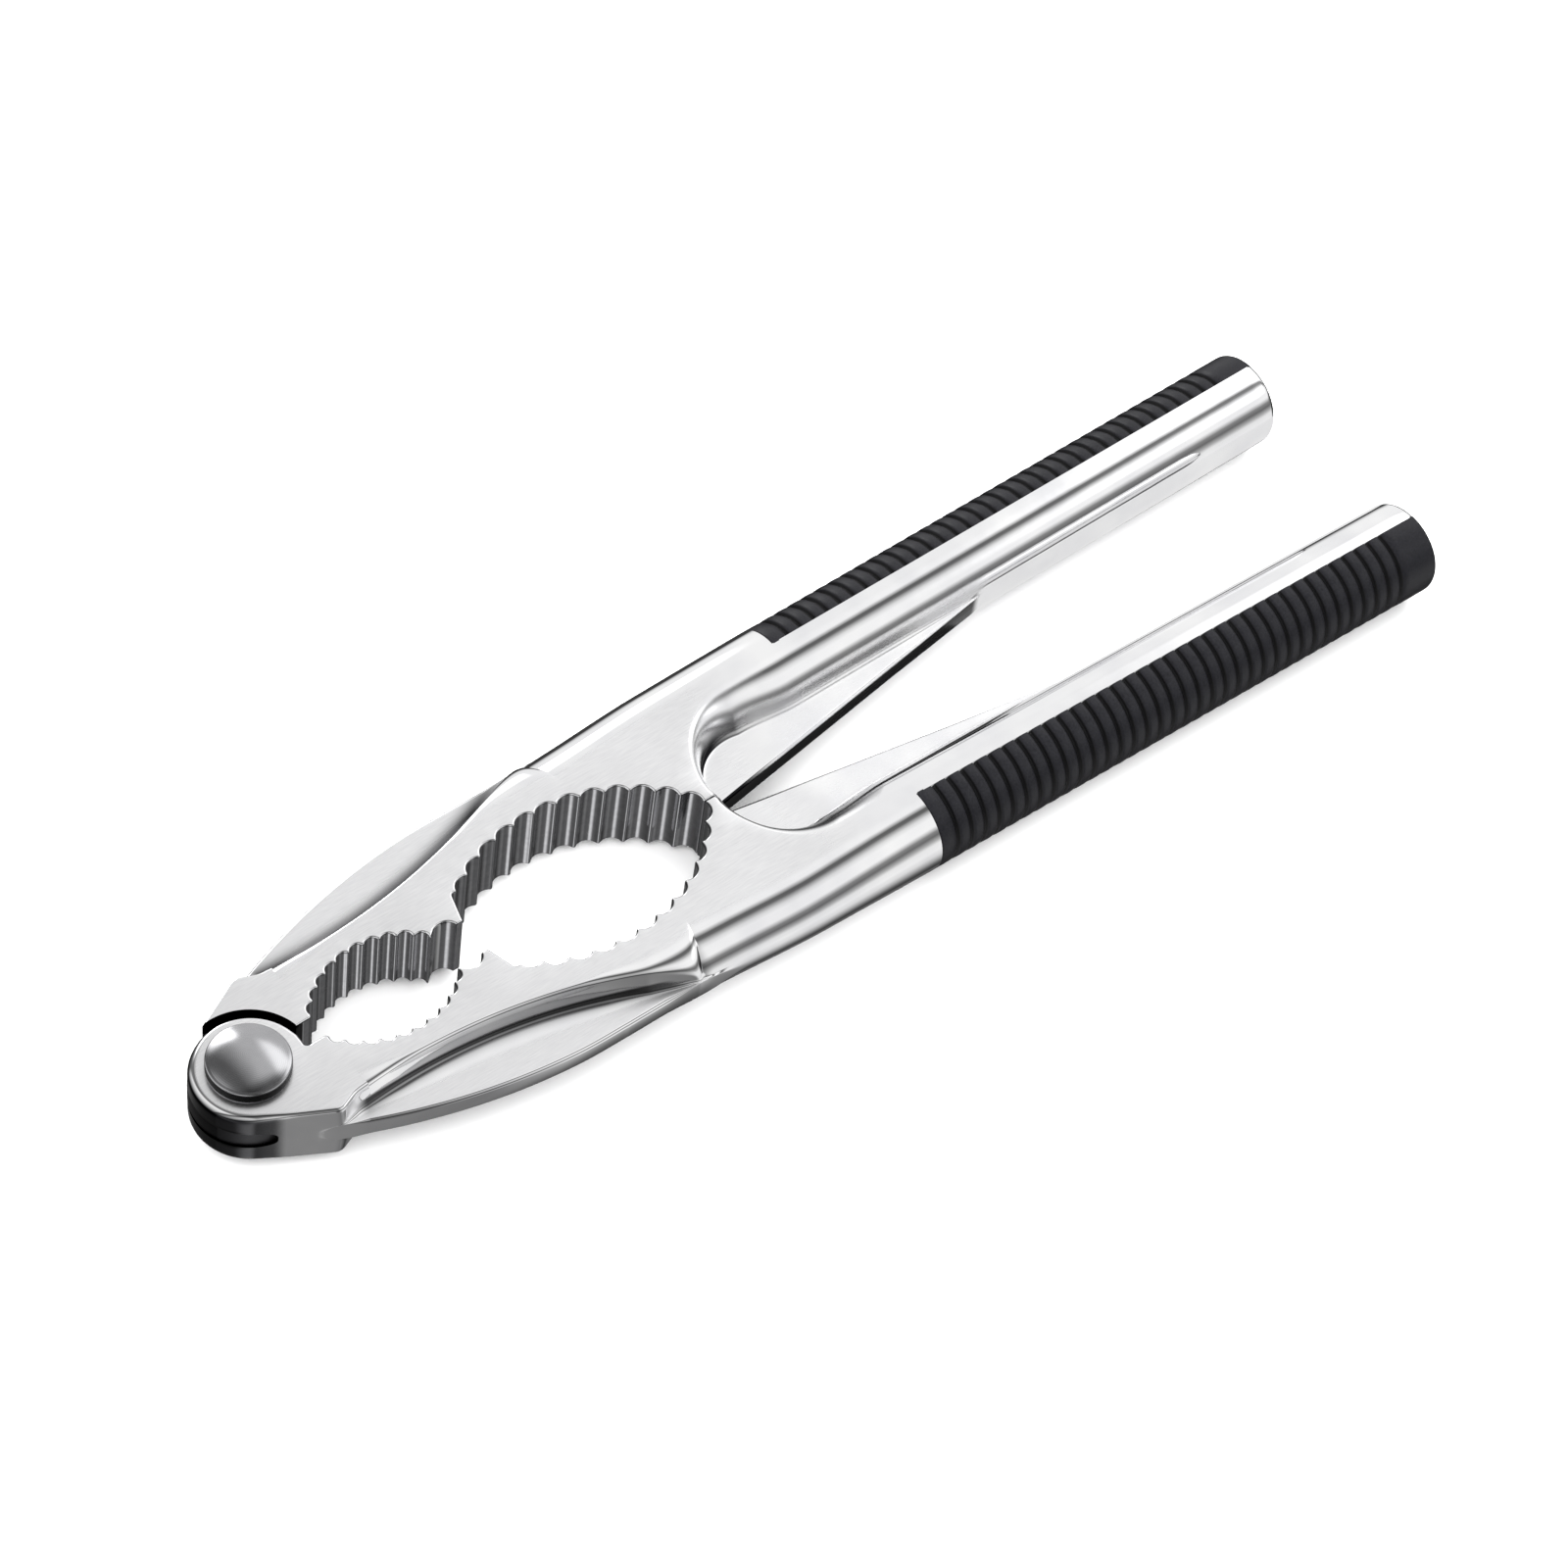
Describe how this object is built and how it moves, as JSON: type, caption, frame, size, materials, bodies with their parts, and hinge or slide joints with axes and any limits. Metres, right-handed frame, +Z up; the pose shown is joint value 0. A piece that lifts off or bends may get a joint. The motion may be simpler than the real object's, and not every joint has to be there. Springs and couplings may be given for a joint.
{
  "type": "two-lever nutcracker",
  "caption": "Hand nutcracker with two riveted metal levers, a small and a large toothed nut cavity, tubular handles and ribbed soft grips.",
  "frame": {"origin": "on the pivot axis, in the plane that the closed tool lies on", "axes": "+X from the pivot along the tool's centre line to the handle ends, +Z up along the pivot axis towards the rivet's domed head, +Y towards the tongued arm"},
  "size_m": [0.1823, 0.045, 0.0137],
  "materials": {
    "plated_zinc": "bright chrome plating over die-cast zinc, jaw faces finely satin",
    "rivet_steel": "polished steel",
    "grip_rubber": "satin black moulded elastomer"
  },
  "bodies": {
    "fork_lever": {"front_arm": "plated_zinc", "pivot_rivet": "rivet_steel", "front_grip": "grip_rubber"},
    "tongue_lever": {"back_arm": "plated_zinc", "back_grip": "grip_rubber"}
  },
  "joints": [
    {"name": "arm_pivot", "type": "hinge", "parent": "fork_lever", "child": "tongue_lever", "pos_m": [0, 0, 0.0065], "axis": [0, 0, 1], "range_deg": [0, 150]}
  ]
}
